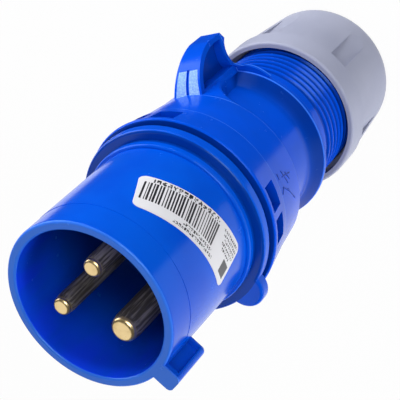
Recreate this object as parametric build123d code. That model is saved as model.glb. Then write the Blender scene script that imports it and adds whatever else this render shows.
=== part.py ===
from build123d import *
import math
import os

# Industrial pin and sleeve plug, standing on its gland nut with the mouth and the pins on top.
# Sizes are millimetres. A station is a distance back from the mouth rim along the plug's axis.

# Clearances, and how far cuts run past a face and added shapes reach into a wall
running_gap = 0.25
seat_gap = 0.05
axial_gap = 0.3
overrun = 1.0

# Directions round the axis, in degrees
hook_angle = -90.0
key_angle = 125.0
lock_turn = 35.0

# Shroud and flange of the front moulding
shroud_radius = 21.75
shroud_wall = 2.5
shroud_length = 35.4
shroud_depth = 37.0
lead_length = 8.0
lead_step = 0.08
rim_round = 0.7
shoulder_height = 0.9
shoulder_length = 2.6
shoulder_round = 0.7
flange_reach = 3.5
flange_thickness = 3.0
flange_round = 0.9
flange_rear_round = 0.5
ear_reach = 3.7
ear_radius = 5.2
base_thickness = 6.0

# Key at the mouth
key_length = 13.0
key_height = 4.6
key_width = 5.0
key_wall = 1.5
key_web = 2.0
key_round = 1.3

# Bayonet: spigot with lugs, housing with ledges behind windows
bayonet_depth = 1.6
spigot_wall = 2.05
lug_arc = 16.0
lug_length = 1.8
land_space = 1.0
land_length = 2.1
ledge_arc = 30.0
ledge_length = 2.0
ledge_height = 1.0
window_pairs = (0.0, 98.0, 180.0, -98.0)
window_arc = 15.0
window_bar = 4.5
window_set_back = 1.4
window_length = 5.0

# Contact pins: nose, plain length, shank in the base wall, collar and terminal barrel
pin_margin = 9.9
pin_recess = 1.5
line_pin_radius = 2.5
earth_pin_radius = 3.5
nose_length = 2.6
nose_taper_share = 0.12
nose_round_share = 0.34
shank_step = 0.4
shank_rise = 0.9
pin_collar = 1.5
pin_collar_length = 2.0
wire_hole_radius = 1.9
barrel_wall = 1.9
barrel_tail = 4.5

# Screws and the plate that holds the pins
screw_radius = 1.5
screw_head_radius = 2.6
screw_head_height = 1.8
screw_slot_width = 0.7
screw_slot_depth = 0.9
retainer_thickness = 2.5
retainer_margin = 3.25
retainer_screw_length = 4.5

# Rear housing
parting_gap = 1.2
housing_rim_reach = 1.05
housing_wall = 3.3
front_band_length = 8.8
front_band_taper = 1.5
step_height = 0.2
band_length = 11.5
band_taper = 1.3
waist_depth = 4.1
waist_slope = 4.0
waist_length = 10.9
collar_slope = 3.8
collar_height = 2.7
collar_thickness = 1.2
collar_undercut = 0.8
neck_step = 0.6
neck_plain = 6.0
neck_wall = 2.6
seat_set_back = 8.1
seat_thickness = 3.0
seat_margin = 6.5
cavity_taper_lead = 2.0
housing_edge_round = 0.6
band_edge_round = 0.5
waist_round = 3.0
waist_end_round = 1.6
collar_round = 0.35

# Hook and its pedestal
hook_lead = 0.6
hook_height = 13.2
hook_arc_radius = 16.0
hook_base_rise = 0.8
hook_tip_rise = 0.15
hook_tip_length = 1.9
hook_tip_slope = 1.0
hook_hollow = 2.0
hook_hollow_rise = 1.4
hook_root_drop = 0.4
hook_base_half = 5.0
hook_tip_half = 2.8
hook_wall = 1.4
hook_rear_wall = 1.3
hook_web = 2.0
flare_start = 7.6
flare_rise = 1.5
flare_turn = 44.0
pad_groove = 0.7
pad_depth = 0.4
pad_height = 9.3
pedestal_half = 4.6
pedestal_flare = 13.0
pedestal_rise = 0.7
pedestal_round = 0.9

# Cable gland
thread_pitch = 2.2
thread_height = 0.6
thread_foot_share = 0.68
thread_crest_share = 0.14
thread_end_margin = 1.2
thread_gap = 0.3
thread_run_out = 1.0
gland_travel = 10.0
engaged_length = 13.0
seal_length = 6.0
seal_wall = 7.7
cage_ring_length = 4.0
cage_guide_length = 3.2
cage_bore_step = 0.3
cage_finger_inset = 0.75
cage_tip_wall = 2.0
cage_straight = 7.0
cage_taper = 8.2
finger_count = 8
finger_slot = 1.6
finger_root = 1.0
cone_gap = 0.4
lip_relief = 1.1
lip_depth = 5.0
lip_wall = 1.6
nut_rim_length = 7.4
nut_step = 0.4
nut_taper = 2.1
nut_round = 6.5
nut_rim_round = 0.7
entry_step = 0.3
entry_length = 5.7
flute_count = 6
flute_width = 5.4
flute_wall = 0.9

# Sticker on the shroud
label_length = 32.0
label_width = 11.6
label_round = 1.6
label_tilt = 17.0
label_angle = -159.0
label_station = 22.1
label_thickness = 0.12
label_glue = 0.02

# Stations and radii of the front moulding that follow
shroud_bore_radius = shroud_radius - shroud_wall
flange_front = shroud_length + shoulder_length
flange_rear = flange_front + flange_thickness
flange_radius = shroud_radius + flange_reach
base_rear = shroud_depth + base_thickness
pin_circle_radius = shroud_bore_radius - pin_margin

# Stations and radii of the housing that follow
housing_front = flange_rear + parting_gap
housing_front_radius = flange_radius + housing_rim_reach
cavity_radius = housing_front_radius - housing_wall
step_station = housing_front + front_band_length
band_radius = housing_front_radius - front_band_taper - step_height
band_end = step_station + band_length
band_end_radius = band_radius - band_taper
waist_radius = band_end_radius - waist_depth
waist_start = band_end + waist_slope
waist_end = waist_start + waist_length
collar_front = waist_end + collar_slope
collar_rear = collar_front + collar_thickness
collar_radius = waist_radius + collar_height
thread_root_radius = waist_radius - neck_step
thread_start = collar_rear + neck_plain
gland_bore_radius = thread_root_radius - neck_wall
seat_station = collar_rear + seat_set_back
seat_rear = seat_station + seat_thickness

# Stations and radii of the bayonet and the terminals that follow
window_front = housing_front + window_set_back
ledge_front = window_front + window_length
ledge_rear = ledge_front + ledge_length
lug_front = ledge_rear + axial_gap
lug_rear = lug_front + lug_length
land_front = lug_rear + land_space
spigot_end = land_front + land_length
spigot_radius = cavity_radius - bayonet_depth
spigot_bore_radius = spigot_radius - spigot_wall
rear_cavity_radius = spigot_radius + 2 * running_gap
terminal_station = spigot_end + screw_head_radius + axial_gap
barrel_end = terminal_station + barrel_tail
barrel_radius = wire_hole_radius + barrel_wall
retainer_radius = spigot_bore_radius - retainer_margin

# Stations and radii of the gland that follow
seal_rear = seat_rear + seal_length
seal_bore_radius = gland_bore_radius - seal_wall
entry_radius = seal_bore_radius - entry_step
cage_front = seal_rear + gland_travel + axial_gap
cage_radius = gland_bore_radius - running_gap
cage_finger_radius = cage_radius - cage_finger_inset
cage_bore_radius = seal_bore_radius + cage_bore_step
cage_tip_radius = cage_bore_radius + cage_tip_wall
cage_shoulder = cage_front + cage_ring_length
cage_taper_start = cage_shoulder + cage_straight
cage_end = cage_taper_start + cage_taper
neck_end = cage_front + cage_guide_length
nut_mouth = neck_end - engaged_length
nut_bore_radius = thread_root_radius + thread_height + thread_gap
nut_bore_end = neck_end + gland_travel + thread_run_out
nut_lip_radius = nut_bore_radius + lip_relief
nut_rim_radius = nut_lip_radius + lip_wall
nut_inner_end = cage_end + axial_gap
overall_length = nut_inner_end + entry_length


def z_at(station):
    """Height of a station above the foot of the nut."""
    return overall_length - station


def section(corners, rounds=()):
    """Flat half section in the XZ plane from (radius, station) corners; rounds are (corner, radius)."""
    points = [Vector(radius, 0, z_at(station)) for radius, station in corners]
    face = make_face(Polyline(*points, close=True))
    for number, size in rounds:
        face = fillet(face.vertices().sort_by_distance(points[number])[0], size)
    return face


def turned(corners, rounds=()):
    """Solid of revolution about the plug's axis."""
    return revolve(section(corners, rounds), Axis.Z)


def sector(corners, middle, arc):
    """Slice of a solid of revolution, arc degrees wide, centred on the angle middle."""
    return Rot(Z=middle - arc / 2) * revolve(section(corners), Axis.Z, arc)


def ring(inner, outer, front, rear):
    """Corners of a plain rectangular ring."""
    return [(inner, front), (outer, front), (outer, rear), (inner, rear)]


def at_angle(solid, angle):
    """Turn a solid built along +X to an angle round the axis."""
    return Rot(Z=angle) * solid


def at_pin(solid, angle):
    """Move a solid built on the axis to a pin's place."""
    return at_angle(Pos(pin_circle_radius, 0, 0) * solid, angle)


def upright(outline, half_width):
    """Give a flat XZ outline its width, evenly to both sides."""
    return extrude(outline, half_width, dir=(0, 1, 0), both=True)


def shroud_key():
    """Rib at the mouth: a frame of walls round a thinner web on both sides."""
    inner = shroud_radius - shroud_wall / 2
    outer = shroud_radius + key_height
    rib = section(ring(inner, outer, 0, key_length), [(2, key_round)])
    body = upright(rib, key_width / 2)
    long_edges = body.edges().filter_by(Axis.Z).group_by(Axis.X)[-1]
    body = fillet(long_edges, key_round)
    pocket = section(ring(shroud_radius, outer - key_wall, key_wall, key_length - key_wall))
    side = (key_width - key_web) / 2
    for direction in (1, -1):
        shift = direction * (key_web / 2 + side / 2)
        body -= Pos(0, shift, 0) * upright(pocket, side / 2)
    return at_angle(body, key_angle)


def flange_ear():
    """Lobe on the flange, in line with the key."""
    bottom = (Align.CENTER, Align.CENTER, Align.MIN)
    lobe = Cylinder(ear_radius, flange_thickness, align=bottom)
    lobe = fillet(lobe.edges().group_by(Axis.Z)[-1], flange_round)
    lobe = Pos(flange_radius + ear_reach - ear_radius, 0, z_at(flange_rear)) * lobe
    return at_angle(lobe - Cylinder(spigot_radius, overall_length, align=bottom), key_angle)


def make_front_shroud(pins):
    """Shroud, flange with its ear, base wall and the spigot that turns in the housing."""
    lead_radius = shroud_radius - lead_step
    shoulder = shroud_radius + shoulder_height
    land_radius = rear_cavity_radius - running_gap
    body = turned(
        [
            (0, shroud_depth),
            (shroud_bore_radius, shroud_depth),
            (shroud_bore_radius, 0),
            (lead_radius, 0),
            (lead_radius, lead_length),
            (shroud_radius, lead_length),
            (shroud_radius, shroud_length),
            (shoulder, shroud_length),
            (shoulder, flange_front),
            (flange_radius, flange_front),
            (flange_radius, flange_rear),
            (spigot_radius, flange_rear),
            (spigot_radius, land_front),
            (land_radius, land_front),
            (land_radius, spigot_end),
            (spigot_bore_radius, spigot_end),
            (spigot_bore_radius, base_rear),
            (0, base_rear),
        ],
        [
            (2, rim_round),
            (3, rim_round),
            (7, shoulder_round),
            (9, flange_round),
            (10, flange_rear_round),
        ],
    )
    body += flange_ear()
    body += shroud_key()
    for pair in window_pairs:
        lug = ring(spigot_radius - spigot_wall / 2, cavity_radius - running_gap, lug_front, lug_rear)
        body += sector(lug, hook_angle + pair + lock_turn, lug_arc)
    for angle, radius in pins:
        shank = radius + shank_step + seat_gap
        collar = radius + pin_collar + seat_gap
        hole = turned(ring(0, shank, shroud_depth - overrun, base_rear))
        seat = turned(ring(0, collar, base_rear - pin_collar_length, base_rear + overrun))
        body -= at_pin(hole + seat, angle)
    tapped_end = base_rear - retainer_screw_length - axial_gap
    return body - turned(ring(0, screw_radius + seat_gap, tapped_end, base_rear + overrun))


def make_pin(radius, angle):
    """Turned contact: round nose, shank and collar held in the base wall, drilled terminal barrel."""
    nose = radius * (1 - nose_taper_share)
    shank = radius + shank_step
    shank_front = shroud_depth - shank_rise
    collar = radius + pin_collar
    collar_front_station = base_rear - pin_collar_length
    wire_hole_front = terminal_station - barrel_tail
    body = turned(
        [
            (0, pin_recess),
            (nose, pin_recess),
            (radius, pin_recess + nose_length),
            (radius, shank_front - shank_step),
            (shank, shank_front),
            (shank, collar_front_station),
            (collar, collar_front_station),
            (collar, base_rear),
            (barrel_radius, base_rear),
            (barrel_radius, barrel_end),
            (wire_hole_radius, barrel_end),
            (wire_hole_radius, wire_hole_front),
            (0, wire_hole_front),
        ],
        [(1, radius * nose_round_share)],
    )
    bottom = (Align.CENTER, Align.CENTER, Align.MIN)
    drill = Cylinder(screw_radius + seat_gap, barrel_radius + overrun, align=bottom)
    body -= Pos(0, 0, z_at(terminal_station)) * Rot(Y=90) * drill
    return at_pin(body, angle)


def make_screw(length):
    """Slotted cheese-head screw along +Z, its head resting on the plane z = 0."""
    bottom = (Align.CENTER, Align.CENTER, Align.MIN)
    top = (Align.CENTER, Align.CENTER, Align.MAX)
    head = Cylinder(screw_head_radius, screw_head_height, align=bottom)
    shank = Cylinder(screw_radius, length, align=top)
    slot = Box(3 * screw_head_radius, screw_slot_width, screw_slot_depth, align=top)
    return head + shank - Pos(0, 0, screw_head_height) * slot


def make_terminal_screw(angle):
    """Wire clamp screw, driven inwards through the wall of a terminal barrel."""
    screw = Rot(Y=90) * make_screw(barrel_radius - wire_hole_radius / 2)
    return at_pin(Pos(barrel_radius, 0, z_at(terminal_station)) * screw, angle)


def make_retainer(pins):
    """Plate behind the base wall that traps the collars of the pins."""
    rear = base_rear + retainer_thickness
    plate = turned(ring(screw_radius + seat_gap, retainer_radius, base_rear, rear))
    hole = turned(ring(0, barrel_radius + seat_gap, base_rear - overrun, rear + overrun))
    for angle, radius in pins:
        plate -= at_pin(hole, angle)
    return plate


def make_retainer_screw():
    """Screw on the axis that holds the plate to the base wall."""
    screw = Rot(X=180) * make_screw(retainer_thickness + retainer_screw_length)
    return Pos(0, 0, z_at(base_rear + retainer_thickness)) * screw


def make_seal_ring():
    """Round-section ring on the spigot, against the rear of the flange."""
    thickness = bayonet_depth - 2 * seat_gap
    middle = spigot_radius + thickness / 2
    return Pos(0, 0, z_at(flange_rear + thickness / 2)) * Torus(middle, thickness / 2)


def make_label():
    """Thin sticker wrapped on the shroud, its long side tilted from the round direction."""
    inner = shroud_radius + label_glue
    skin = turned(ring(inner, inner + label_thickness, 0, shroud_length))
    half_turn = label_length / 2 / shroud_radius
    flat = RectangleRounded(2 * shroud_radius * math.sin(half_turn), label_width, label_round)
    plane = Plane(origin=(0, 0, z_at(label_station)), x_dir=(0, 1, 0), z_dir=(1, 0, 0))
    cutter = extrude(plane * (Rot(Z=label_tilt) * flat), shroud_radius * 2)
    return at_angle(skin & cutter, label_angle)


class HookArc:
    """Circle in the XZ plane that the front of the hook follows."""

    def __init__(self):
        self.centre_radius = waist_radius + hook_height + hook_tip_rise - hook_arc_radius
        rise = waist_radius + hook_base_rise - self.centre_radius
        self.centre_station = band_end - hook_lead + math.sqrt(hook_arc_radius**2 - rise**2)

    def front(self, radius, inset=0.0):
        """Point on the front half, at a distance from the plug's axis, inset from the hook's face."""
        drop = math.sqrt((hook_arc_radius - inset) ** 2 - (radius - self.centre_radius) ** 2)
        return Vector(radius, 0, z_at(self.centre_station - drop))

    def top(self, station, inset):
        """Point on the outer half at a station, inset from the hook's face."""
        rise = math.sqrt((hook_arc_radius - inset) ** 2 - (station - self.centre_station) ** 2)
        return Vector(self.centre_radius + rise, 0, z_at(station))

    def stretch(self, low, high, inset):
        """Arc along the front between two distances from the plug's axis."""
        middle = self.front((low + high) / 2, inset)
        return ThreePointArc(self.front(low, inset), middle, self.front(high, inset))


def hook_rear(reach, inset):
    """Arc of the hollow rear from the tip to the collar, inset from the hook's face."""
    hollow_radius = (reach + waist_radius) / 2 + hook_hollow_rise
    return ThreePointArc(
        Vector(reach - hook_tip_length, 0, z_at(collar_rear - inset)),
        Vector(hollow_radius, 0, z_at(collar_rear - hook_hollow - inset)),
        Vector(collar_radius + hook_root_drop, 0, z_at(collar_rear + hook_root_drop - inset)),
    )


def hook_side(arc, root, reach):
    """Whole side outline: arc in front, short flat tip, hollow rear that sweeps to the collar."""
    rear = hook_rear(reach, 0)
    tip = Vector(reach, 0, z_at(collar_rear - hook_tip_slope))
    foot_rear = Vector(root, 0, z_at(collar_rear + hook_root_drop))
    return make_face(
        [
            arc.stretch(root, reach, 0),
            Line(arc.front(reach), tip),
            Line(tip, rear @ 0),
            rear,
            Line(rear @ 1, foot_rear),
            Line(foot_rear, arc.front(root)),
        ]
    )


def rear_plate(root, reach):
    """Rear wall of the hook: a thin curved plate whose sides sweep down to the collar's rim."""
    rear = hook_rear(reach, 0)
    front = hook_rear(reach, hook_rear_wall)
    foot_rear = Vector(root, 0, (rear @ 1).Z)
    foot_front = Vector(root, 0, (front @ 1).Z)
    side = make_face(
        [
            rear,
            Line(rear @ 1, foot_rear),
            Line(foot_rear, foot_front),
            Line(foot_front, front @ 1),
            front,
            Line(front @ 0, rear @ 0),
        ]
    )
    top = waist_radius + flare_start
    turn = math.radians(flare_turn)
    bend = collar_radius + flare_rise
    edges = []
    for sign in (1, -1):
        start = Vector(top, sign * hook_tip_half)
        middle = Vector(bend * math.cos(turn / 2), sign * bend * math.sin(turn / 2))
        finish = Vector(collar_radius * math.cos(turn), sign * collar_radius * math.sin(turn))
        leave = (-math.sin(turn), sign * math.cos(turn))
        edges.append(Spline(start, middle, finish, tangents=[(-1, 0), leave]))
        edges.append(Line(finish, (0, 0)))
    edges.append(Line((top, hook_tip_half), (top, -hook_tip_half)))
    return upright(side, reach) & extrude(make_face(edges), overall_length)


def hook_pocket(arc, reach):
    """Side outline of the pocket between the front wall, the tip and the rear wall."""
    foot = band_end_radius + seat_gap
    rear = collar_rear - hook_tip_slope - hook_rear_wall
    top = arc.top(rear, hook_wall)
    hollow_radius = (reach + waist_radius) / 2 + hook_hollow_rise
    hollow = Vector(hollow_radius, 0, z_at(collar_rear - hook_hollow - hook_rear_wall))
    foot_rear = Vector(foot, 0, z_at(rear))
    middle = arc.top((band_end + collar_rear) / 2, hook_wall)
    return make_face(
        [
            ThreePointArc(arc.front(foot, hook_wall), middle, top),
            ThreePointArc(top, hollow, foot_rear),
            Line(foot_rear, arc.front(foot, hook_wall)),
        ]
    )


def pad_skin(arc, root):
    """Side outline of the thin layer that the groove between the pads cuts away."""
    top = waist_radius + pad_height
    return make_face(
        [
            arc.stretch(root, top, -overrun),
            Line(arc.front(top, -overrun), arc.front(top, pad_depth)),
            arc.stretch(top, root, pad_depth),
            Line(arc.front(root, pad_depth), arc.front(root, -overrun)),
        ]
    )


def make_hook():
    """Fin that holds a socket lid: curved front wall, thin web, rear wall flaring into the collar."""
    arc = HookArc()
    root = waist_radius - overrun
    reach = waist_radius + hook_height
    plan = make_face(
        Polyline(
            (root, -hook_base_half),
            (reach + overrun, -hook_tip_half),
            (reach + overrun, hook_tip_half),
            (root, hook_base_half),
            close=True,
        )
    )
    fin = upright(hook_side(arc, root, reach), reach)
    blade = fin & extrude(plan, overall_length)
    pocket = hook_pocket(arc, reach)
    for direction in (1, -1):
        shift = direction * (hook_web / 2 + hook_base_half)
        blade -= Pos(0, shift, 0) * upright(pocket, hook_base_half)
    blade -= upright(pad_skin(arc, root), pad_groove / 2)
    return at_angle(blade + rear_plate(root, reach), hook_angle)


def make_pedestal():
    """Part of the middle band that runs on under the hook and ends the waist groove on both sides."""
    root = waist_radius - overrun
    start = band_end - overrun
    solid = turned(
        [
            (root, start),
            (band_end_radius, start),
            (collar_radius + pedestal_rise, collar_front),
            (root, collar_front),
        ]
    )
    wide = pedestal_half + pedestal_flare
    bend = pedestal_flare * (1 - math.sqrt(0.5))
    front = z_at(band_end)
    turn = z_at(band_end + pedestal_flare)
    rear = z_at(collar_front)
    edges = [
        Line((0, wide, z_at(start)), (0, -wide, z_at(start))),
        Line((0, pedestal_half, rear), (0, -pedestal_half, rear)),
    ]
    for sign in (1, -1):
        bend_point = (0, sign * (pedestal_half + bend), front - bend)
        edges.append(Line((0, sign * wide, z_at(start)), (0, sign * wide, front)))
        edges.append(ThreePointArc((0, sign * wide, front), bend_point, (0, sign * pedestal_half, turn)))
        edges.append(Line((0, sign * pedestal_half, turn), (0, sign * pedestal_half, rear)))
    prism = extrude(make_face(edges), 2 * collar_radius, dir=(1, 0, 0))
    body = solid & prism
    rims = [
        edge
        for edge in body.edges()
        if edge.length > pedestal_half and edge.bounding_box().size.Z > pedestal_half
        if math.hypot((edge @ 0.5).X, (edge @ 0.5).Y) > collar_radius
    ]
    return at_angle(fillet(rims, pedestal_round), hook_angle)


def make_neck_thread():
    """Right-hand thread that winds along the neck, its foot sunk a little into the wall."""
    low = z_at(neck_end - thread_end_margin)
    high = z_at(thread_start + neck_step + thread_end_margin)
    path = Pos(0, 0, low) * Helix(thread_pitch, high - low, thread_root_radius)
    foot = thread_pitch * thread_foot_share / 2
    crest = thread_pitch * thread_crest_share / 2
    ridge = make_face(
        Polyline(
            (-thread_height / 2, -foot),
            (thread_height, -crest),
            (thread_height, crest),
            (-thread_height / 2, foot),
            close=True,
        )
    )
    plane = Plane(origin=path @ 0, x_dir=(1, 0, 0), z_dir=path % 0)
    return sweep(plane * ridge, path=path, is_frenet=True)


def make_rear_housing():
    """Rear moulding: windowed front band, middle band, waist, collar, hook and neck."""
    outside = turned(
        [
            (0, housing_front),
            (housing_front_radius, housing_front),
            (band_radius + step_height, step_station),
            (band_radius, step_station),
            (band_end_radius, band_end),
            (waist_radius, waist_start),
            (waist_radius, waist_end),
            (collar_radius, collar_front),
            (collar_radius, collar_rear),
            (waist_radius, collar_rear + collar_undercut),
            (waist_radius, thread_start),
            (thread_root_radius, thread_start + neck_step),
            (thread_root_radius, neck_end),
            (0, neck_end),
        ],
        [
            (1, housing_edge_round),
            (4, band_edge_round),
            (5, waist_round),
            (6, waist_end_round),
            (7, collar_round),
            (8, collar_round),
        ],
    )
    body = outside + make_pedestal() + make_hook() + make_neck_thread()
    inner_radius = waist_radius - housing_wall
    cavity = turned(
        [
            (0, housing_front - overrun),
            (cavity_radius, housing_front - overrun),
            (cavity_radius, lug_rear + axial_gap),
            (rear_cavity_radius, lug_rear + axial_gap),
            (rear_cavity_radius, spigot_end + cavity_taper_lead),
            (inner_radius, waist_start),
            (inner_radius, seat_station),
            (0, seat_station),
        ]
    )
    gland = turned(ring(0, gland_bore_radius, seat_rear, neck_end + overrun))
    seat_hole = turned(ring(0, gland_bore_radius - seat_margin, seat_station - overrun, seat_rear + overrun))
    body -= cavity + gland + seat_hole
    for pair in window_pairs:
        middle = hook_angle + pair
        ledge = ring(cavity_radius - ledge_height, cavity_radius + housing_wall / 2, ledge_front, ledge_rear)
        body += sector(ledge, middle, ledge_arc)
        for side in (-1, 1):
            window = ring(cavity_radius - overrun, housing_front_radius + overrun, window_front, ledge_front)
            body -= sector(window, middle + side * (window_arc + window_bar) / 2, window_arc)
    return body


def make_cable_seal():
    """Rubber ring on the seat in the neck, squeezed on to the cable."""
    return turned(ring(seal_bore_radius, gland_bore_radius - running_gap, seat_rear, seal_rear))


def make_clamp_cage():
    """Ring with springy fingers that the nut's cone presses on to the cable."""
    body = turned(
        [
            (cage_bore_radius, cage_front),
            (cage_radius, cage_front),
            (cage_radius, cage_shoulder),
            (cage_finger_radius, cage_shoulder),
            (cage_finger_radius, cage_taper_start),
            (cage_tip_radius, cage_end),
            (cage_bore_radius, cage_end),
        ]
    )
    length = cage_end - cage_shoulder
    slot = Box(2 * cage_finger_radius, finger_slot, length, align=(Align.MIN, Align.CENTER, Align.MAX))
    slot = Pos(0, 0, z_at(cage_shoulder + finger_root)) * slot
    for number in range(finger_count):
        body -= at_angle(slot, number * 360 / finger_count)
    return body


def make_gland_nut():
    """Domed nut: smooth rim at the mouth, fluted body, inner cone and cable entry."""
    rim_end = nut_mouth + nut_rim_length
    body_radius = nut_rim_radius - nut_step
    slope = (cage_finger_radius - cage_tip_radius) / cage_taper
    cone_top = cage_finger_radius - slope * (nut_bore_end - cage_taper_start) + cone_gap
    body = turned(
        [
            (nut_lip_radius, nut_mouth),
            (nut_rim_radius, nut_mouth),
            (nut_rim_radius, rim_end),
            (body_radius, rim_end),
            (body_radius - nut_taper, overall_length),
            (entry_radius, overall_length),
            (entry_radius, nut_inner_end),
            (cage_tip_radius + cone_gap, nut_inner_end),
            (cone_top, nut_bore_end),
            (nut_bore_radius, nut_bore_end),
            (nut_bore_radius, nut_mouth + lip_depth),
            (nut_lip_radius, nut_mouth + lip_depth - lip_relief),
        ],
        [(1, nut_rim_round), (4, nut_round)],
    )
    flute = ring(nut_bore_radius + flute_wall, nut_rim_radius + overrun, rim_end, overall_length)
    flute = upright(section(flute), flute_width / 2)
    for number in range(flute_count):
        body -= at_angle(flute, hook_angle + number * 360 / flute_count)
    return body


def main():
    """Build every piece and write one STEP file for each."""
    os.makedirs("parts", exist_ok=True)
    pins = {
        "earth": (key_angle, earth_pin_radius),
        "line": (key_angle + 120, line_pin_radius),
        "neutral": (key_angle - 120, line_pin_radius),
    }
    places = list(pins.values())
    pieces = {
        "front_shroud": make_front_shroud(places),
        "contact_retainer": make_retainer(places),
        "retainer_screw": make_retainer_screw(),
        "front_seal_ring": make_seal_ring(),
        "label_sticker": make_label(),
        "rear_housing": make_rear_housing(),
        "cable_seal": make_cable_seal(),
        "clamp_cage": make_clamp_cage(),
        "gland_nut": make_gland_nut(),
    }
    for name, (angle, radius) in pins.items():
        pieces["pin_" + name] = make_pin(radius, angle)
        pieces["terminal_screw_" + name] = make_terminal_screw(angle)
    for name, piece in pieces.items():
        export_step(piece, "parts/" + name + ".step")


main()
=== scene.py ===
"""Looks of an industrial pin and sleeve plug: finishes, label print, moulded marks and studio."""

import math
from collections import namedtuple

import bmesh
import bpy
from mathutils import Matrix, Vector


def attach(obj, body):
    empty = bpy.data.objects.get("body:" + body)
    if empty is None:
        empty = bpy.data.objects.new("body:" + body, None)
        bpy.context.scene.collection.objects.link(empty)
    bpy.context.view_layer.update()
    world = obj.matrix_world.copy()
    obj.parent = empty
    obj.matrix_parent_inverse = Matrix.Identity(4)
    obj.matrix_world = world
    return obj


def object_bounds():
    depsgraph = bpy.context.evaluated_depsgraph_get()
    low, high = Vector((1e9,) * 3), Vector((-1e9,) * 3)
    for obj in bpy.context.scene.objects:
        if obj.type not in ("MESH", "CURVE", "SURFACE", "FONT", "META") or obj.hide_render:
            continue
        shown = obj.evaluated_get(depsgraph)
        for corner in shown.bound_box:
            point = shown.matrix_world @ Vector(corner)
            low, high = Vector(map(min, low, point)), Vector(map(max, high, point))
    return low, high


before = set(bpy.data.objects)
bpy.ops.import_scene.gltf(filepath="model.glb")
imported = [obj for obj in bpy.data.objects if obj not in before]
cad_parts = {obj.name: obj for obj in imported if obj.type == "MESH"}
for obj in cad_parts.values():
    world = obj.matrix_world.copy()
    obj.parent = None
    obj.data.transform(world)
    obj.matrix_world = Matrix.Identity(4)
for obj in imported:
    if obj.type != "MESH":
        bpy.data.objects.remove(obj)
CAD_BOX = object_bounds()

bl_info = {
    "name": "Pin and Sleeve Plug",
    "version": (1, 0, 0),
    "blender": (4, 5, 0),
    "location": "View3D > Sidebar > Plug",
    "description": "Dresses an industrial plug in its finishes and sets a small studio round it",
    "category": "Object",
}

MM = 0.001
PLUG_TOP = CAD_BOX[1].z

# Places on the plug in millimetres: depths behind the mouth rim, and distances from the axis
RIM_DEPTH = 0.4
BORE_RADIUS = 20.6
BORE_LIGHT = (3.0, 22.0)
BORE_SHADE = (10.0, 32.0)
NOSE_END = (2.1, 2.9)
FLANGE_FACE = (37.2, 38.6)
FLANGE_RING = (22.6, 25.0)
HOUSING_FACE = 42.5
HOUSING_FACE_RADIUS = 25.8
BAND_FRONT = 51.0
BAND_FRONT_RADIUS = 24.6
BAND_REAR = 62.5
BAND_REAR_RADIUS = 23.3
HOLLOW_SLOPE = (75.0, 79.5)
HOLLOW_END = 81.0
HOLLOW_RADIUS = 21.7
THREAD_SPAN = (88.5, 113.0)
THREAD_LEAST_RADIUS = 18.4
THREAD_ROOT = (18.65, 19.1)

# Thin edges of the housing that get a painted highlight, each as a depth and the least distance from the axis
EDGE_HALF = 0.16
PAINTED_HIGHLIGHT_EDGES = ((BAND_FRONT, 24.4), (BAND_REAR, 23.1), (81.2, 21.6), (82.4, 21.6))

# The hook in millimetres: centre of the arc of its front, its two pads and its side pockets
HOOK_CENTRE_RADIUS = 16.55
HOOK_CENTRE_DEPTH = 77.52
HOOK_FACE = (15.85, 16.15)
PAD_SPAN = (22.6, 28.3)
PAD_HALF_AT_AXIS = 6.95
PAD_TAPER = 0.1447
PAD_GROOVE_HALF = 0.45
POCKET_WEB_HALF = 1.1
POCKET_REACH = 14.9
POCKET_FOOT = 23.2
POCKET_REAR = 3.2

# Shares of shade or light that the masks give
THREAD_SHADE = 0.55
HOLLOW_SHADE = 0.7
FACE_SHADE = 0.6
DEEP_SHADE = 0.8
POCKET_SHADE = 0.55
RIM_LIGHT = 0.5
EDGE_LIGHT = 0.6

# Noise scales that several finishes share
FINE_GRAIN = 2600.0
STREAK_GRAIN = 1500.0


def station(distance):
    """Height of a place that lies this many millimetres behind the mouth rim."""
    return PLUG_TOP - distance * MM


def length_property(title, words, default):
    """A size that a user may change, in metres."""
    return bpy.props.FloatProperty(name=title, description=words, default=default, unit="LENGTH", precision=5)


def angle_property(title, words, degrees):
    """A direction that a user may change."""
    return bpy.props.FloatProperty(
        name=title, description=words, default=math.radians(degrees), subtype="ANGLE"
    )


def level_property(title, words, default):
    """A plain share or strength that a user may change."""
    return bpy.props.FloatProperty(name=title, description=words, default=default)


def colour_property(title, words, default):
    """A linear colour that a user may change."""
    return bpy.props.FloatVectorProperty(
        name=title, description=words, default=default, size=3, subtype="COLOR", min=0.0, max=1.0
    )


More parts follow.
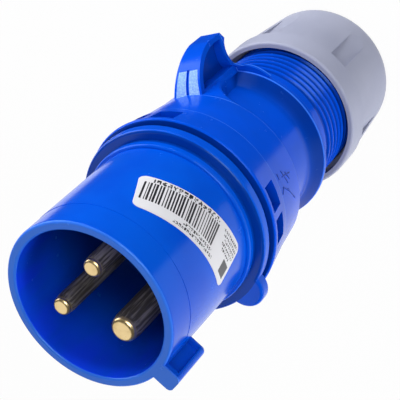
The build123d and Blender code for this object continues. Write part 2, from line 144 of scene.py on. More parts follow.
class PlugColours(bpy.types.PropertyGroup):
    """Colours of the plug's materials."""

    body_blue: colour_property("Body Blue", "Main colour of the shroud", (0.0, 0.084, 0.63))
    body_deep: colour_property("Deep Blue", "Darker drift in the blue mouldings", (0.0, 0.064, 0.56))
    housing_blue: colour_property("Housing Blue", "Main colour of the rear housing", (0.0, 0.074, 0.69))
    mouth_blue: colour_property("Mouth Blue", "Lit inside of the mouth", (0.006, 0.055, 0.90))
    # The Groove colour is a painted shade: it is laid into hollows, thread roots, hook pockets, the flange's
    # face, the deep mouth and the moulded marks
    groove: colour_property("Groove", "Shade in hollows, thread roots and marks", (0.0, 0.012, 0.13))
    # The Edge colour is a painted highlight: it is laid on the mouth's rim and on the housing's thin edges
    edge: colour_property("Edge", "Thin light edges of the blue mouldings", (0.06, 0.24, 0.90))
    pad_frost: colour_property("Pad Frost", "Speckle on the hook's pads", (0.36, 0.58, 0.80))
    gloss_tint: colour_property("Gloss Tint", "Tint of the blue plastic's gloss", (0.40, 0.72, 1.0))
    nut_grey: colour_property("Nut Grey", "Main colour of the gland nut", (0.37, 0.39, 0.51))
    nut_shade: colour_property("Nut Shade", "Darker drift in the gland nut", (0.33, 0.35, 0.47))
    brass: colour_property("Brass", "Polished noses of the pins", (0.92, 0.70, 0.36))
    tarnish: colour_property("Tarnish", "Brown clouds on the brass", (0.60, 0.40, 0.15))
    # The two shaft colours are painted shade and painted streaks of reflection for the pins' shafts inside
    # the mouth
    shaft_painted_shade: colour_property("Dark Shaft", "Dull brass along the pins", (0.09, 0.08, 0.07))
    shaft_painted_streak: colour_property("Light Shaft", "Streaks along the pins", (0.34, 0.31, 0.28))
    steel: colour_property("Steel", "Plated screws", (0.62, 0.63, 0.65))
    steel_shade: colour_property("Steel Shade", "Streaks on the screws", (0.48, 0.49, 0.50))
    inner_black: colour_property("Inner Black", "Retainer and clamp cage", (0.020, 0.021, 0.024))
    inner_cloud: colour_property("Inner Cloud", "Clouds on the black plastic", (0.032, 0.033, 0.036))
    rubber: colour_property("Rubber", "Seals", (0.012, 0.012, 0.013))
    rubber_bloom: colour_property("Rubber Bloom", "Dust on the seals", (0.030, 0.030, 0.031))
    film: colour_property("Label Film", "White sticker", (0.70, 0.70, 0.73))
    film_shade: colour_property("Film Shade", "Clouds on the sticker", (0.66, 0.66, 0.70))
    ink: colour_property("Label Ink", "Print on the sticker", (0.015, 0.015, 0.020))


class LabelSizes(bpy.types.PropertyGroup):
    """Place of the sticker and its print."""

    radius: length_property("Radius", "Radius of the shroud under the sticker", 21.75 * MM)
    height: length_property("Height", "Height of the sticker's centre", station(22.1))
    angle: angle_property("Angle", "Direction of the sticker's centre round the axis", -159.0)
    tilt: angle_property("Tilt", "Turn of the sticker's long side from the round direction", 17.0)
    bar: length_property("Bar", "Step between the printed bars", 0.74 * MM)


class MarkSizes(bpy.types.PropertyGroup):
    """The moulded marks on the middle band."""

    width: length_property("Width", "Width of a mark's strokes", 0.42 * MM)
    proud: length_property("Proud", "How far the strokes stand out", 0.12 * MM)
    sunk: length_property("Sunk", "How far the strokes reach into the band", 0.10 * MM)


class StageSizes(bpy.types.PropertyGroup):
    """Camera, lamps and floor."""

    camera_place: bpy.props.FloatVectorProperty(
        name="Camera Place",
        description="Where the camera stands",
        default=(-0.186795, -0.111065, 0.327320),
        size=3,
        subtype="TRANSLATION",
    )
    camera_turn: bpy.props.FloatVectorProperty(
        name="Camera Turn",
        description="How the camera is turned",
        default=(math.radians(-32.1514), math.radians(28.1141), math.radians(157.8264)),
        size=3,
        subtype="EULER",
    )
    camera_lens: bpy.props.FloatProperty(
        name="Camera Lens",
        description="Focal length in millimetres",
        default=117.0,
        subtype="DISTANCE_CAMERA",
    )
    lamp_aim: length_property("Lamp Aim", "Height on the axis that the lamps point at", 0.08)
    floor_size: length_property("Floor Size", "Side of the square floor", 12.0)
    floor_white: colour_property("Floor White", "Colour of the floor", (0.30, 0.30, 0.30))
    floor_share: level_property("Floor Share", "Share of even white in the floor as it is seen", 0.85)
    floor_glow: level_property("Floor Glow", "Strength of the floor's even white", 1.12)
    flag_inner: length_property("Flag Inner", "Inner radius of the dark card round the plug", 0.026)
    flag_outer: length_property("Flag Outer", "Outer radius of the dark card round the plug", 0.60)
    flag_lift: length_property("Flag Lift", "Height of the dark card over the floor", 0.2 * MM)
    flag_start: angle_property("Flag Start", "Direction of the card's edge on the plug's right side", -176.0)
    flag_end: angle_property("Flag End", "Direction of the card's edge behind the plug", -20.0)
    world_level: level_property("World Level", "Strength of the even light from all round", 0.10)


class Term:
    """A socket that can be reckoned with: each operator adds one Math node."""

    def __init__(self, graph, socket):
        self.graph = graph
        self.socket = socket

    def math(self, operation, *others):
        values = dict(enumerate((self, *others)))
        return self.graph.node("ShaderNodeMath", {"operation": operation}, values)

    def __add__(self, other):
        return self.math("ADD", other)

    def __radd__(self, other):
        return self.graph.term(other).math("ADD", self)

    def __sub__(self, other):
        return self.math("SUBTRACT", other)

    def __rsub__(self, other):
        return self.graph.term(other).math("SUBTRACT", self)

    def __mul__(self, other):
        return self.math("MULTIPLY", other)

    def __rmul__(self, other):
        return self.graph.term(other).math("MULTIPLY", self)

    def __truediv__(self, other):
        return self.math("DIVIDE", other)

    def __gt__(self, other):
        return self.math("GREATER_THAN", other)

    def __lt__(self, other):
        return self.math("LESS_THAN", other)

    def __abs__(self):
        return self.math("ABSOLUTE")


class Graph:
    """The nodes of one material."""

    def __init__(self, owner):
        owner.use_nodes = True
        self.tree = owner.node_tree
        self.tree.nodes.clear()

    def node(self, kind, settings=None, values=None, output=0):
        """Add a node, set it up, feed its sockets and return one of its outputs."""
        made = self.tree.nodes.new(kind)
        for name, setting in (settings or {}).items():
            setattr(made, name, setting)
        for name, value in (values or {}).items():
            self.feed(made.inputs[name], value)
        return Term(self, made.outputs[output]) if made.outputs else None

    def feed(self, socket, value):
        if isinstance(value, Term):
            self.tree.links.new(value.socket, socket)
        elif socket.type == "RGBA":
            socket.default_value = (*value[:3], 1.0)
        else:
            socket.default_value = value

    def term(self, number):
        """A plain number as a term, for the left side of an operator."""
        return self.node("ShaderNodeMath", {"operation": "ADD"}, {0: number, 1: 0.0})

    def place(self):
        """Place on the piece, in metres, which stays with it when it moves."""
        return self.node("ShaderNodeTexCoord", output="Object")

    def split(self, vector):
        parts = self.node("ShaderNodeSeparateXYZ", values={"Vector": vector})
        outputs = parts.socket.node.outputs
        return [Term(self, outputs[name]) for name in "XYZ"]

    def drawn_out(self, vector, share):
        """A place whose height counts for less, so that noise on it runs in streaks along the axis."""
        x, y, z = self.split(vector)
        return self.node("ShaderNodeCombineXYZ", values={"X": x, "Y": y, "Z": z * share})

    def noise(self, vector, scale, detail=2.0, roughness=0.5):
        values = {"Vector": vector, "Scale": scale, "Detail": detail, "Roughness": roughness}
        return self.node("ShaderNodeTexNoise", values=values, output="Fac")

    def smooth(self, value, low, high):
        """0 under low, 1 over high, and an easy slope between."""
        settings = {"interpolation_type": "SMOOTHSTEP"}
        return self.node("ShaderNodeMapRange", settings, {"Value": value, "From Min": low, "From Max": high})

    def mix(self, share, first, second):
        """First colour at 0, second at 1."""
        made = self.tree.nodes.new("ShaderNodeMix")
        made.data_type = "RGBA"
        sockets = {s.identifier: s for s in made.inputs}
        self.feed(sockets["Factor_Float"], share)
        self.feed(sockets["A_Color"], first)
        self.feed(sockets["B_Color"], second)
        result = next(s for s in made.outputs if s.identifier == "Result_Color")
        return Term(self, result)

    def bump(self, height, distance, strength):
        values = {"Height": height, "Distance": distance, "Strength": strength}
        return self.node("ShaderNodeBump", values=values)

    def surface(self, **values):
        """Close the material with one principled shader."""
        named = {name.replace("_", " "): value for name, value in values.items()}
        shader = self.node("ShaderNodeBsdfPrincipled", values=named)
        self.node("ShaderNodeOutputMaterial", values={"Surface": shader})


def new_finish(name):
    """An empty material and its graph."""
    material = bpy.data.materials.new(name)
    return material, Graph(material)


def dress(material, *nodes):
    """Give CAD nodes a material of the scene."""
    for name in nodes:
        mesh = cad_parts[name].data
        mesh.materials.clear()
        mesh.materials.append(material)


def inside(value, low, high):
    """1 where a value lies between two limits."""
    return (value > low) * (value < high)


def turned_place(graph, place):
    """Distance from the axis and depth behind the mouth rim, in millimetres."""
    x, y, z = graph.split(place)
    radius = (x * x + y * y).math("SQRT") / MM
    depth = (PLUG_TOP - z) / MM
    return radius, depth


def hook_place(graph, place):
    """Place on the hook in millimetres: sideways, out from the axis, from its arc's centre, and before it."""
    x, y, z = graph.split(place)
    out = y / -MM
    rise = out - HOOK_CENTRE_RADIUS
    ahead = (z - station(HOOK_CENTRE_DEPTH)) / MM
    reach = (rise * rise + ahead * ahead).math("SQRT")
    return abs(x / MM), out, reach, ahead


def hook_pocket_mask(graph, place):
    """1 on the thin web at the bottom of the hook's side pockets."""
    sideways, out, reach, ahead = hook_place(graph, place)
    on_web = (sideways < POCKET_WEB_HALF) * (reach < POCKET_REACH)
    return on_web * (out > POCKET_FOOT) * (ahead > -POCKET_REAR)


def hook_pad_mask(graph, place):
    """1 on the two frosted pads low on the curved front of the hook, 0 on the groove between them."""
    sideways, out, reach, ahead = hook_place(graph, place)
    half_width = PAD_HALF_AT_AXIS - out * PAD_TAPER
    on_pads = (sideways < half_width) * (sideways > PAD_GROOVE_HALF)
    return inside(reach, *HOOK_FACE) * on_pads * inside(out, *PAD_SPAN) * (ahead > 0.0)


def housing_shade_mask(graph, place):
    """Shade of the housing: its front face, the hollow in front of the collar and the thread's roots."""
    radius, depth = turned_place(graph, place)
    root = 1.0 - graph.smooth(radius, *THREAD_ROOT)
    thread = root * inside(depth, *THREAD_SPAN) * (radius > THREAD_LEAST_RADIUS)
    hollow = graph.smooth(depth, *HOLLOW_SLOPE) * (depth < HOLLOW_END) * (radius < HOLLOW_RADIUS)
    front = (depth < HOUSING_FACE) * (radius < HOUSING_FACE_RADIUS)
    return thread * THREAD_SHADE + hollow * HOLLOW_SHADE + front * FACE_SHADE


def painted_highlight_edge_mask(graph, place):
    """1 on the thin edges of the housing's step, middle band and collar, where a highlight is painted."""
    radius, depth = turned_place(graph, place)
    edges = 0.0
    for middle, least_radius in PAINTED_HIGHLIGHT_EDGES:
        on_edge = inside(depth, middle - EDGE_HALF, middle + EDGE_HALF)
        edges = edges + on_edge * (radius > least_radius)
    return edges


def shroud_shade_mask(graph, place):
    """Shade of the flange's front face, and of the mouth's inside, where it grows with depth."""
    radius, depth = turned_place(graph, place)
    flange = inside(depth, *FLANGE_FACE) * inside(radius, *FLANGE_RING)
    bore = (radius < BORE_RADIUS) * graph.smooth(depth, *BORE_SHADE)
    return flange * FACE_SHADE + bore * DEEP_SHADE


def mouth_light_mask(graph, place):
    """Light on the inside of the mouth, in soft streaks that fade with depth."""
    radius, depth = turned_place(graph, place)
    streak = graph.smooth(graph.noise(graph.drawn_out(place, 0.15), 170.0), 0.35, 0.70)
    fade = 1.0 - graph.smooth(depth, *BORE_LIGHT)
    bore = (radius < BORE_RADIUS) * (depth > RIM_DEPTH)
    return bore * fade * (0.45 + 0.55 * streak)


def painted_rim_light_mask(graph, place):
    """1 on the rim of the mouth, where a highlight is painted."""
    return turned_place(graph, place)[1] < RIM_DEPTH


def blue_ground(graph, place, deep, main):
    """What both blue mouldings share: a slow drift of colour, roughness with scuffs, and a faint grain."""
    drift = graph.smooth(graph.noise(place, 45.0, 3.0), 0.35, 0.65)
    colour = graph.mix(drift, tuple(deep), tuple(main))
    scuff = graph.smooth(graph.noise(place, 260.0, 5.0, 0.65), 0.50, 0.72)
    rough = 0.20 + 0.08 * scuff
    height = graph.noise(place, FINE_GRAIN) * 0.2 + graph.noise(place, 160.0)
    return colour, rough, height


def blue_surface(graph, colours, colour, rough, height, gloss):
    """Close a blue material with its tinted gloss."""
    graph.surface(
        Base_Color=colour,
        Roughness=rough,
        Specular_IOR_Level=gloss,
        Specular_Tint=tuple(colours.gloss_tint),
        Normal=graph.bump(height, 0.03 * MM, 0.4),
    )


def shroud_plastic(colours):
    """Blue plastic of the front moulding, lit at the rim and darker down in the mouth."""
    material, graph = new_finish("blue_plastic")
    place = graph.place()
    colour, rough, height = blue_ground(graph, place, colours.body_deep, colours.body_blue)
    # Painted shade on the flange's front face and deeper in the mouth
    colour = graph.mix(shroud_shade_mask(graph, place), colour, tuple(colours.groove))
    # Painted light in soft streaks on the inside of the mouth, fading with depth
    colour = graph.mix(mouth_light_mask(graph, place), colour, tuple(colours.mouth_blue))
    # Painted highlight on the mouth's rim
    colour = graph.mix(painted_rim_light_mask(graph, place) * RIM_LIGHT, colour, tuple(colours.edge))
    blue_surface(graph, colours, colour, rough, height, 0.44)
    return material


def housing_plastic(colours):
    """Blue plastic of the rear housing, with painted shade in its hollows and pockets, painted highlights on
    thin edges, and frosted hook pads.
    """
    material, graph = new_finish("blue_plastic_housing")
    place = graph.place()
    colour, rough, height = blue_ground(graph, place, colours.body_deep, colours.housing_blue)
    # Painted shade on the front face, in the hollow before the collar and in the thread's roots
    colour = graph.mix(housing_shade_mask(graph, place), colour, tuple(colours.groove))
    # Painted shade on the web in the hook's side pockets
    colour = graph.mix(hook_pocket_mask(graph, place) * POCKET_SHADE, colour, tuple(colours.groove))
    # Painted highlight on the thin edges
    colour = graph.mix(painted_highlight_edge_mask(graph, place) * EDGE_LIGHT, colour, tuple(colours.edge))
    pads = hook_pad_mask(graph, place)
    speckle = graph.smooth(graph.noise(place, FINE_GRAIN, 4.0, 0.7), 0.40, 0.66)
    colour = graph.mix(pads * (0.50 + 0.45 * speckle), colour, tuple(colours.pad_frost))
    rough = rough + pads * 0.20
    height = height + pads * speckle * 1.5
    blue_surface(graph, colours, colour, rough, height, 0.30)
    return material


def mark_plastic(colours):
    """Dull blue of the moulded marks, darkened with painted shade: clouded between the painted shade colour
    and the deep blue.
    """
    material, graph = new_finish("blue_plastic_marks")
    cloud = graph.noise(graph.place(), 900.0, 3.0)
    # Painted shade on the strokes, clouded with the deep blue
    colour = graph.mix(cloud, tuple(colours.groove), tuple(colours.body_deep))
    graph.surface(Base_Color=colour, Roughness=0.40 + 0.10 * cloud, Specular_IOR_Level=0.30)
    return material


def grey_plastic(colours):
    """Satin grey moulding with a fine even grain."""
    material, graph = new_finish("grey_plastic")
    place = graph.place()
    drift = graph.smooth(graph.noise(place, 60.0, 3.0), 0.35, 0.65)
    fleck = graph.smooth(graph.noise(place, 1400.0, 3.0), 0.40, 0.70)
    colour = graph.mix(drift * 0.7 + fleck * 0.3, tuple(colours.nut_shade), tuple(colours.nut_grey))
    rough = 0.46 + 0.12 * fleck
    grain = graph.noise(place, 3200.0, 3.0)
    graph.surface(Base_Color=colour, Roughness=rough, Normal=graph.bump(grain, 0.03 * MM, 0.6))
    return material


def polished_brass(colours):
    """Turned brass: bright noses; shafts less metallic and rougher, darkened with painted shade and painted
    streaks of reflection along them; fine rings all the way.
    """
    material, graph = new_finish("pin_brass")
    place = graph.place()
    rings = (graph.split(place)[2] * 9000.0).math("SINE")
    cloud = graph.noise(place, 420.0, 4.0)
    streak = graph.smooth(graph.noise(graph.drawn_out(place, 0.06), STREAK_GRAIN, 3.0), 0.42, 0.66)
    shaft = graph.smooth(turned_place(graph, place)[1], *NOSE_END)
    bright = graph.mix(graph.smooth(cloud, 0.45, 0.75) * 0.5, tuple(colours.brass), tuple(colours.tarnish))
    # Painted shade along the shafts, with painted streaks of reflection
    painted_shaft = graph.mix(streak, tuple(colours.shaft_painted_shade), tuple(colours.shaft_painted_streak))
    graph.surface(
        Base_Color=graph.mix(shaft, bright, painted_shaft),
        Metallic=1.0 - shaft * 0.55,
        Roughness=0.24 + 0.12 * cloud + shaft * 0.10,
        Normal=graph.bump(rings * 0.2 + cloud, 0.02 * MM, 0.4),
    )
    return material


def plated_steel(colours):
    """Plated screws with a faint cloud in the plating."""
    material, graph = new_finish("screw_steel")
    cloud = graph.noise(graph.place(), STREAK_GRAIN, 4.0)
    colour = graph.mix(cloud, tuple(colours.steel), tuple(colours.steel_shade))
    rough = 0.26 + 0.16 * cloud
    graph.surface(Base_Color=colour, Metallic=1.0, Roughness=rough, Normal=graph.bump(cloud, 0.02 * MM, 0.4))
    return material


def dark_moulding(colours):
    """Black plastic of the inner pieces."""
    material, graph = new_finish("inner_plastic")
    place = graph.place()
    cloud = graph.noise(place, 300.0, 4.0)
    colour = graph.mix(cloud, tuple(colours.inner_black), tuple(colours.inner_cloud))
    rough = 0.40 + 0.15 * cloud
    grain = graph.noise(place, 2800.0)
    graph.surface(Base_Color=colour, Roughness=rough, Normal=graph.bump(grain, 0.03 * MM, 0.5))
    return material


def seal_rubber(colours):
    """Matt black rubber with a dusty bloom."""
    material, graph = new_finish("seal_rubber")
    bloom = graph.smooth(graph.noise(graph.place(), 500.0, 5.0, 0.6), 0.45, 0.75)
    colour = graph.mix(bloom, tuple(colours.rubber), tuple(colours.rubber_bloom))
    rough = 0.72 + 0.16 * bloom
    graph.surface(Base_Color=colour, Roughness=rough, Normal=graph.bump(bloom, 0.03 * MM, 0.4))
    return material


# The print, in millimetres along and across the sticker from its centre
BAR_SPAN = (-6.2, 14.6)
BAR_RISE = (-4.0, 2.5)
BLOCK_SPAN = (-14.8, -11.8)
BLOCK_RISE = (1.0, 4.6)
BLOCK_INK = 0.9

PrintRow = namedtuple("PrintRow", "middle half start end dot seed")
PRINT_ROWS = (
    PrintRow(-4.85, 0.66, -5.6, 12.6, 0.33, 3.0),
    PrintRow(3.4, 0.42, -6.5, 3.0, 0.20, 17.0),
    PrintRow(4.6, 0.42, -7.5, 5.5, 0.20, 29.0),
    PrintRow(-4.4, 0.36, -14.6, -7.6, 0.18, 41.0),
    PrintRow(-3.3, 0.36, -14.8, -8.2, 0.18, 53.0),
    PrintRow(-2.2, 0.36, -14.8, -9.0, 0.18, 61.0),
    PrintRow(-1.1, 0.36, -14.8, -8.6, 0.18, 67.0),
    PrintRow(0.0, 0.36, -13.6, -9.4, 0.18, 71.0),
)


def label_axes(graph, sizes):
    """Distances along and across the sticker from its centre, in millimetres, wrapped on the shroud."""
    x, y, z = graph.split(graph.place())
    facing_x, facing_y = math.cos(sizes.angle), math.sin(sizes.angle)
    outward = x * facing_x + y * facing_y
    sideways = y * facing_x - x * facing_y
    around = sideways.math("ARCTAN2", outward) * (sizes.radius / MM)
    upward = (z - sizes.height) * (1 / MM)
    run, rise = math.cos(sizes.tilt), math.sin(sizes.tilt)
    along = around * run + upward * rise
    across = upward * run - around * rise
    return along, across


def bar_field(graph, along, step):
    """Upright bars at an even step, each with a width of its own."""
    least_width, spread = 0.28, 0.45
    cell = (along / step).math("FLOOR")
    chance = graph.node("ShaderNodeTexWhiteNoise", {"noise_dimensions": "1D"}, {"W": cell}, "Value")
    return (along / step - cell) < least_width + spread * chance


def small_print(graph, along, across, dot, seed):
    """Blocks of random dots in columns, like small print seen from afar."""
    bare_share, block_columns = 0.38, 4.0
    column = (along / dot).math("FLOOR")
    line = (across / dot).math("FLOOR")
    grid = graph.node("ShaderNodeCombineXYZ", values={"X": column + seed, "Y": line})
    chance = graph.node("ShaderNodeTexWhiteNoise", {"noise_dimensions": "2D"}, {"Vector": grid}, "Value")
    between_blocks = (column / block_columns).math("FRACT") > 0.1
    return (chance > bare_share) * between_blocks


def label_print(graph, along, across, bar):
    """Ink on the sticker: a field of bars, rows of small print and one dark block."""
    ink = bar_field(graph, along, bar) * inside(along, *BAR_SPAN) * inside(across, *BAR_RISE)
    for row in PRINT_ROWS:
        in_height = inside(across, row.middle - row.half, row.middle + row.half)
        in_length = inside(along, row.start, row.end)
        dots = small_print(graph, along, across - row.middle, row.dot, row.seed)
        ink = ink.math("MAXIMUM", in_height * in_length * dots)
    block = inside(across, *BLOCK_RISE) * inside(along, *BLOCK_SPAN)
    return ink.math("MAXIMUM", block * BLOCK_INK)


def printed_film(colours, sizes):
    """White sticker with generic print."""
    material, graph = new_finish("sticker")
    along, across = label_axes(graph, sizes)
    ink = label_print(graph, along, across, sizes.bar / MM)
    cloud = graph.noise(graph.place(), 350.0, 3.0)
    film = graph.mix(cloud, tuple(colours.film), tuple(colours.film_shade))
    colour = graph.mix(ink, film, tuple(colours.ink))
    rough = 0.42 + 0.10 * cloud - 0.08 * ink
    graph.surface(Base_Color=colour, Roughness=rough, Normal=graph.bump(cloud, 0.02 * MM, 0.3))
    return material


def new_piece(name, build, body, material):
    """A mesh piece made by a function on a bmesh, which rides on a body."""
    mesh = bpy.data.meshes.new(name)
    shape = bmesh.new()
    build(shape)
    bmesh.ops.recalc_face_normals(shape, faces=shape.faces)
    shape.to_mesh(mesh)
    shape.free()
    mesh.materials.append(material)
    piece = bpy.data.objects.new(name, mesh)
    bpy.context.scene.collection.objects.link(piece)
    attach(piece, body)
    return piece


# Small moulded marks on the middle band, each a line through (degrees round the axis, depth) points
MARK_STROKES = (
    ((-172.0, 52.6), (-175.6, 52.6)),
    ((-172.8, 55.0), (-182.0, 56.4)),
    ((-175.4, 56.8), (-180.8, 57.7)),
    ((-175.8, 54.4), (-178.0, 58.8)),
    ((-184.2, 52.0), (-181.2, 53.4), (-186.4, 55.8)),
    ((-184.8, 55.4), (-194.5, 58.6)),
)
MARK_TOP_SHARE = 0.6


def band_radius(height):
    """Outside radius of the middle band at a height."""
    front, rear = station(BAND_FRONT), station(BAND_REAR)
    share = (front - height) / (front - rear)
    return (BAND_FRONT_RADIUS + (BAND_REAR_RADIUS - BAND_FRONT_RADIUS) * share) * MM


def stroke(shape, outline, sizes):
    """A raised line on the middle band along (angle, height) points, narrower at its top."""
    for (turn_a, height_a), (turn_b, height_b) in zip(outline, outline[1:]):
        direction = Vector(((turn_b - turn_a) * band_radius(height_a), height_b - height_a)).normalized()
        side = Vector((-direction.y, direction.x)) * sizes.width / 2
        ends = ((turn_a, height_a, 1), (turn_b, height_b, 1), (turn_b, height_b, -1), (turn_a, height_a, -1))
        corners = []
        for lift, squeeze in ((-sizes.sunk, 1.0), (sizes.proud, MARK_TOP_SHARE)):
            for turn, height, sign in ends:
                level = height + side.y * sign * squeeze
                radius = band_radius(level) + lift
                angle = turn + side.x * sign * squeeze / band_radius(height)
                corners.append(shape.verts.new((radius * math.cos(angle), radius * math.sin(angle), level)))
        for a in range(4):
            b = (a + 1) % 4
            shape.faces.new((corners[a], corners[b], corners[4 + b], corners[4 + a]))
        shape.faces.new(corners[4:])
        shape.faces.new(corners[:4])


class PLUG_OT_blue_mouldings(bpy.types.Operator):
    """Give the shroud and the rear housing their blue plastic"""

    bl_idname = "plug.blue_mouldings"
    bl_label = "Blue Mouldings"

    def execute(self, context):
        colours = context.scene.plug_colours
        dress(shroud_plastic(colours), "front_shroud")
        dress(housing_plastic(colours), "rear_housing")
        return {"FINISHED"}


class PLUG_OT_gland_nut(bpy.types.Operator):
    """Give the gland nut its grey plastic"""

    bl_idname = "plug.gland_nut"
    bl_label = "Gland Nut"

    def execute(self, context):
        dress(grey_plastic(context.scene.plug_colours), "gland_nut")
        return {"FINISHED"}


class PLUG_OT_contacts(bpy.types.Operator):
    """Give the pins their brass and the screws their plating"""

    bl_idname = "plug.contacts"
    bl_label = "Contacts"

    def execute(self, context):
        colours = context.scene.plug_colours
        ways = ("earth", "line", "neutral")
        dress(polished_brass(colours), *("pin_" + way for way in ways))
        dress(plated_steel(colours), "retainer_screw", *("terminal_screw_" + way for way in ways))
        return {"FINISHED"}


class PLUG_OT_inner_pieces(bpy.types.Operator):
    """Give the retainer, the clamp cage and the seals their finishes"""

    bl_idname = "plug.inner_pieces"
    bl_label = "Inner Pieces"

    def execute(self, context):
        colours = context.scene.plug_colours
        dress(dark_moulding(colours), "contact_retainer", "clamp_cage")
        dress(seal_rubber(colours), "front_seal_ring", "cable_seal")
        return {"FINISHED"}


class PLUG_OT_label(bpy.types.Operator):
    """Print the sticker"""

    bl_idname = "plug.label"
    bl_label = "Label"

    def execute(self, context):
        scene = context.scene
        dress(printed_film(scene.plug_colours, scene.plug_label), "label_sticker")
        return {"FINISHED"}


class PLUG_OT_marks(bpy.types.Operator):
    """Raise the small moulded marks on the middle band"""

    bl_idname = "plug.marks"
    bl_label = "Moulded Marks"

    def execute(self, context):
        scene = context.scene

        def strokes(shape):
            for outline in MARK_STROKES:
                points = [(math.radians(angle), station(distance)) for angle, distance in outline]
                stroke(shape, points, scene.plug_marks)

        new_piece("moulded_marks", strokes, "housing", mark_plastic(scene.plug_colours))
        return {"FINISHED"}


# Lamps of the studio in metres and watts; a mirrored one is seen in the plug's gloss
Softbox = namedtuple("Softbox", "name place width depth watts mirrored")
SOFTBOXES = (
    Softbox("key_softbox", (0.12, -0.60, 0.07), 0.40, 0.30, 5.2, False),
    Softbox("left_softbox", (0.62, -0.60, 0.15), 0.60, 0.60, 3.6, True),
    Softbox("right_card", (-0.45, 0.62, 0.12), 0.90, 0.40, 8.5, False),
    Softbox("front_card", (-0.78, -0.42, 0.14), 0.60, 0.40, 0.8, False),
    Softbox("back_card", (0.55, 0.33, 0.72), 0.70, 0.70, 1.3, True),
    Softbox("top_softbox", (-0.28, -0.18, 0.48), 0.30, 0.30, 1.3, True),
)
FLAG_STEPS = 24
WHITE = (1.0, 1.0, 1.0)
FLAG_BLACK = (0.03, 0.03, 0.03)
CAMERA_SENSOR = 36.0
CAMERA_NEAR = 0.01


def seen_rays(graph):
    """1 for rays from the camera and for those that gloss or clear pieces send on."""
    path = graph.node("ShaderNodeLightPath").socket.node.outputs
    rays = [Term(graph, path[name]) for name in ("Is Camera Ray", "Is Glossy Ray", "Is Transmission Ray")]
    return rays[0].math("MAXIMUM", rays[1].math("MAXIMUM", rays[2]))


def studio_floor(sizes):
    """Pale floor, seen mostly as even white with a faint shadow."""
    material, graph = new_finish("floor_white")
    diffuse = graph.node("ShaderNodeBsdfDiffuse", values={"Color": tuple(sizes.floor_white)})
    glow = graph.node("ShaderNodeEmission", values={"Color": WHITE, "Strength": sizes.floor_glow})
    share = seen_rays(graph) * sizes.floor_share
    both = graph.node("ShaderNodeMixShader", values={0: share, 1: diffuse, 2: glow})
    graph.node("ShaderNodeOutputMaterial", values={"Surface": both})
    return material


def flag_card():
    """Dull black of the card on the floor."""
    material, graph = new_finish("flag_black")
    graph.surface(Base_Color=FLAG_BLACK, Roughness=0.9, Specular_IOR_Level=0.0)
    return material


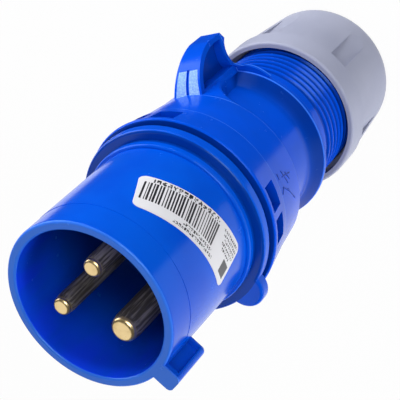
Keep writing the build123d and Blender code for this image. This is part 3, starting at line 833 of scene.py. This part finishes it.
class PLUG_OT_stage(bpy.types.Operator):
    """Set the floor, the lamps, the world and the camera"""

    bl_idname = "plug.stage"
    bl_label = "Stage"

    def execute(self, context):
        sizes = context.scene.plug_stage
        self.floor(context, sizes)
        self.flag(context, sizes)
        self.world(context, sizes)
        self.lamps(context, sizes)
        self.camera(context, sizes)
        context.scene.view_settings.view_transform = "Standard"
        return {"FINISHED"}

    def flat_piece(self, context, name, corners, faces, material):
        """A sheet of the stage."""
        mesh = bpy.data.meshes.new(name)
        mesh.from_pydata(corners, [], faces)
        mesh.materials.append(material)
        sheet = bpy.data.objects.new(name, mesh)
        context.scene.collection.objects.link(sheet)
        return sheet

    def floor(self, context, sizes):
        half = sizes.floor_size / 2
        corners = [(-half, -half, 0), (half, -half, 0), (half, half, 0), (-half, half, 0)]
        floor = self.flat_piece(context, "floor", corners, [(0, 1, 2, 3)], studio_floor(sizes))

    def flag(self, context, sizes):
        """Dark card on the floor that only the gloss sees: its edge ends the pale sheen on the right."""
        sweep = sizes.flag_end - sizes.flag_start
        turns = [sizes.flag_start + sweep * step / FLAG_STEPS for step in range(FLAG_STEPS + 1)]
        corners = [
            (radius * math.cos(turn), radius * math.sin(turn), sizes.flag_lift)
            for turn in turns
            for radius in (sizes.flag_inner, sizes.flag_outer)
        ]
        faces = [(2 * k, 2 * k + 1, 2 * k + 3, 2 * k + 2) for k in range(FLAG_STEPS)]
        flag = self.flat_piece(context, "dark_flag", corners, faces, flag_card())
        flag.visible_camera = False
        flag.visible_diffuse = False
        flag.visible_transmission = False
        flag.visible_shadow = False

    def world(self, context, sizes):
        world = bpy.data.worlds.new("studio")
        context.scene.world = world
        graph = Graph(world)
        light = graph.node("ShaderNodeBackground", values={"Color": WHITE, "Strength": sizes.world_level})
        graph.node("ShaderNodeOutputWorld", values={"Surface": light})

    def lamps(self, context, sizes):
        target = Vector((0.0, 0.0, sizes.lamp_aim))
        for box in SOFTBOXES:
            data = bpy.data.lights.new(box.name, "AREA")
            data.shape = "RECTANGLE"
            data.size = box.width
            data.size_y = box.depth
            data.energy = box.watts
            lamp = bpy.data.objects.new(box.name, data)
            lamp.location = box.place
            lamp.rotation_mode = "QUATERNION"
            lamp.rotation_quaternion = (target - Vector(box.place)).to_track_quat("-Z", "Y")
            lamp.visible_glossy = box.mirrored
            context.scene.collection.objects.link(lamp)

    def camera(self, context, sizes):
        data = bpy.data.cameras.new("camera")
        data.sensor_width = CAMERA_SENSOR
        data.lens = sizes.camera_lens
        data.clip_start = CAMERA_NEAR
        camera = bpy.data.objects.new("camera", data)
        camera.location = sizes.camera_place
        camera.rotation_euler = sizes.camera_turn
        context.scene.collection.objects.link(camera)
        context.scene.camera = camera


OPERATORS = (
    PLUG_OT_blue_mouldings,
    PLUG_OT_gland_nut,
    PLUG_OT_contacts,
    PLUG_OT_inner_pieces,
    PLUG_OT_label,
    PLUG_OT_marks,
    PLUG_OT_stage,
)


class PLUG_PT_sidebar(bpy.types.Panel):
    """Lists the steps that dress the plug"""

    bl_idname = "PLUG_PT_sidebar"
    bl_label = "Plug"
    bl_space_type = "VIEW_3D"
    bl_region_type = "UI"
    bl_category = "Plug"

    def draw(self, context):
        for step in OPERATORS:
            self.layout.operator(step.bl_idname)


SETTINGS = {
    "plug_colours": PlugColours,
    "plug_label": LabelSizes,
    "plug_marks": MarkSizes,
    "plug_stage": StageSizes,
}


def register():
    for group in SETTINGS.values():
        bpy.utils.register_class(group)
    for name, group in SETTINGS.items():
        setattr(bpy.types.Scene, name, bpy.props.PointerProperty(type=group))
    for step in OPERATORS:
        bpy.utils.register_class(step)
    bpy.utils.register_class(PLUG_PT_sidebar)


def unregister():
    bpy.utils.unregister_class(PLUG_PT_sidebar)
    for step in reversed(OPERATORS):
        bpy.utils.unregister_class(step)
    for name in SETTINGS:
        delattr(bpy.types.Scene, name)
    for group in reversed(SETTINGS.values()):
        bpy.utils.unregister_class(group)


def main():
    register()
    bpy.ops.plug.blue_mouldings()
    bpy.ops.plug.gland_nut()
    bpy.ops.plug.contacts()
    bpy.ops.plug.inner_pieces()
    bpy.ops.plug.label()
    bpy.ops.plug.marks()
    bpy.ops.plug.stage()
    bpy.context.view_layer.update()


if __name__ == "__main__":
    main()
